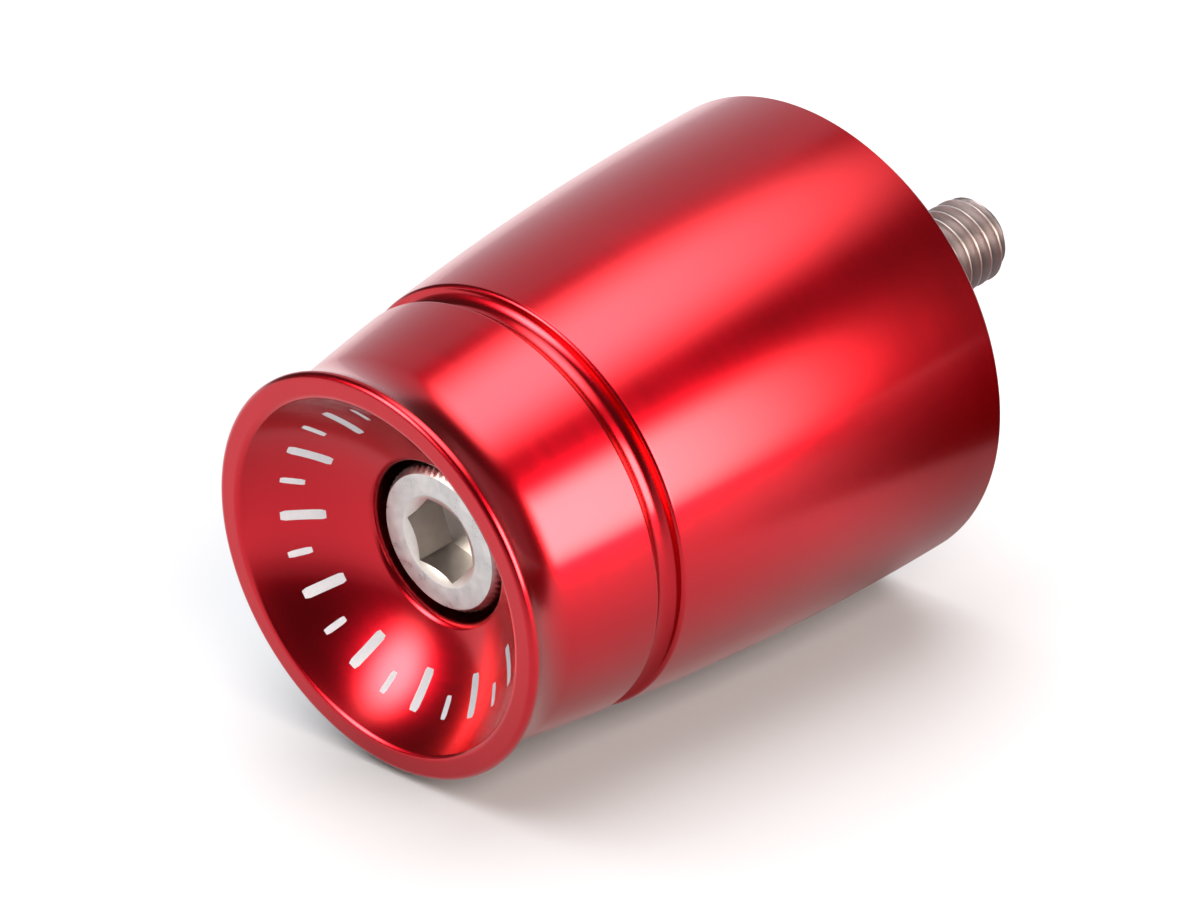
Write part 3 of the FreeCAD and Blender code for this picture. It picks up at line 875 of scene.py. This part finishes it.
cap_screw = skin("cap_screw", [*head_rows(), *thread_rows(), row_of(0, TIP_PLACE)])
cap_screw.data.materials.append(tumbled_stainless_steel())
# The thread's and the socket's finishes are steel with painted shade, darker towards the axis.
cap_screw.data.materials.append(
    shaded_recess_steel("thread_steel_painted_shade", "7C7577", "B5AFB1", THREAD_ROOT, THREAD_RADIUS))
cap_screw.data.materials.append(
    shaded_recess_steel("socket_steel_painted_shade", "96928E", "CAC6C2", 0, SOCKET_MOUTH))
for face in cap_screw.data.polygons:
    if face.center.y > THREAD_START:
        face.material_index = SHADED_THREAD
    elif face.center.y < SEAT_PLACE and math.hypot(face.center.x, face.center.z) < SOCKET_MOUTH:
        face.material_index = SHADED_SOCKET
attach(cap_screw, "root")
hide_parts("screw")

# %% [markdown]
# ## Index ticks
# The dish carries a ring of white marks. Here they are plain ticks, like the scale of a dial: long
# ones every 30 degrees and short ones between. A laser bleaches the dye out of the oxide, so a mark
# is matt and white, and has no thickness to speak of. Each tick is a thin strip of the dish's own
# ball, a hundredth of a millimetre proud, so that it shows from every side.

# %% Ticks on the ball that the dish is cut from
TICK_PROUD = 0.012 * MM
TICK_OUTER = 10.45 * MM
TICK_PIECES = 10
TICK_END = 0.2 * MM
TICK_END_WIDTH = 0.75  # of its full width


def on_dish(radius, aside, angle, lift):
    """A point of the dish at that distance from the axis, moved sideways, lifted off the surface."""
    turn = angle + aside / radius
    ball = DISH_BALL - lift
    flat = radius * ball / DISH_BALL
    return Vector((flat * math.cos(turn), DISH_CENTRE + math.sqrt(ball**2 - flat**2), flat * math.sin(turn)))


def add_tick(form, angle, inner, width):
    """One tick with rounded ends: a lifted face, and a rim that goes down into the dish."""
    outline = []
    for k in range(TICK_PIECES + 1):
        share = k / TICK_PIECES
        radius = inner + (TICK_OUTER - inner) * share
        ending = min(share, 1 - share) * (TICK_OUTER - inner) / TICK_END
        half = width / 2 * (TICK_END_WIDTH + (1 - TICK_END_WIDTH) * min(ending, 1.0))
        outline.append((radius, half))
    layers = []
    for lift in (TICK_PROUD, -TICK_PROUD):
        layers.append([
            [form.verts.new(on_dish(radius, side * half, angle, lift)) for side in (-1, 0, 1)]
            for radius, half in outline
        ])
    top, bottom = layers
    for row, following in zip(top, top[1:]):
        for k in (0, 1):
            form.faces.new((row[k], row[k + 1], following[k + 1], following[k]))
    for row, following in zip(bottom, bottom[1:]):
        for k in (0, 1):
            form.faces.new((row[k], following[k], following[k + 1], row[k + 1]))
    for k in (0, 2):
        for i in range(TICK_PIECES):
            form.faces.new((top[i][k], top[i + 1][k], bottom[i + 1][k], bottom[i][k]))
    for i in (0, TICK_PIECES):
        for k in (0, 1):
            form.faces.new((top[i][k], top[i][k + 1], bottom[i][k + 1], bottom[i][k]))


# %% Laser-bleached oxide
def laser_bleached_oxide():
    """White laser marking on anodising: matt, with a fine speckle from the laser's dots."""
    material, tree = new_material("laser_bleached_oxide")
    place = add_node(tree, "ShaderNodeTexCoord")
    # The dots are about 0.05 mm apart. They are drawn at 0.15 mm, which the picture can show.
    speckle = add_node(tree, "ShaderNodeTexNoise", {
        "Vector": place.outputs["Object"],
        "Scale": 1 / (0.15 * MM),
        "Detail": 2.0,
    })
    colour = add_node(tree, "ShaderNodeMix", {
        "Factor": speckle.outputs["Fac"],
        "A": linear("B2B7BC"),
        "B": linear("C1C7CC"),
    }, data_type="RGBA")
    shader = add_node(tree, "ShaderNodeBsdfPrincipled", {
        "Base Color": colour.outputs["Result"],
        "Roughness": 0.65,
    })
    add_node(tree, "ShaderNodeOutputMaterial", {"Surface": shader.outputs["BSDF"]})
    return material


# %% The ring of ticks
TICKS = 24
LONG_TICK_INNER = 8.25 * MM
LONG_TICK_WIDTH = 0.7 * MM
SHORT_TICK_INNER = 9.3 * MM
SHORT_TICK_WIDTH = 0.45 * MM
TICK_SHARP_FROM = math.radians(40)

form = bmesh.new()
for k in range(TICKS):
    angle = math.radians(360 / TICKS * k)
    if k % 2 == 0:
        add_tick(form, angle, LONG_TICK_INNER, LONG_TICK_WIDTH)
    else:
        add_tick(form, angle, SHORT_TICK_INNER, SHORT_TICK_WIDTH)
bmesh.ops.recalc_face_normals(form, faces=form.faces)
tick_mesh = bpy.data.meshes.new("index_ticks")
form.to_mesh(tick_mesh)
form.free()
tick_mesh.shade_smooth()
tick_mesh.set_sharp_from_angle(angle=TICK_SHARP_FROM)
tick_mesh.materials.append(laser_bleached_oxide())
index_ticks = bpy.data.objects.new("index_ticks", tick_mesh)
bpy.context.scene.collection.objects.link(index_ticks)
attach(index_ticks, "root")
print("index_ticks:", len(tick_mesh.polygons), "faces")
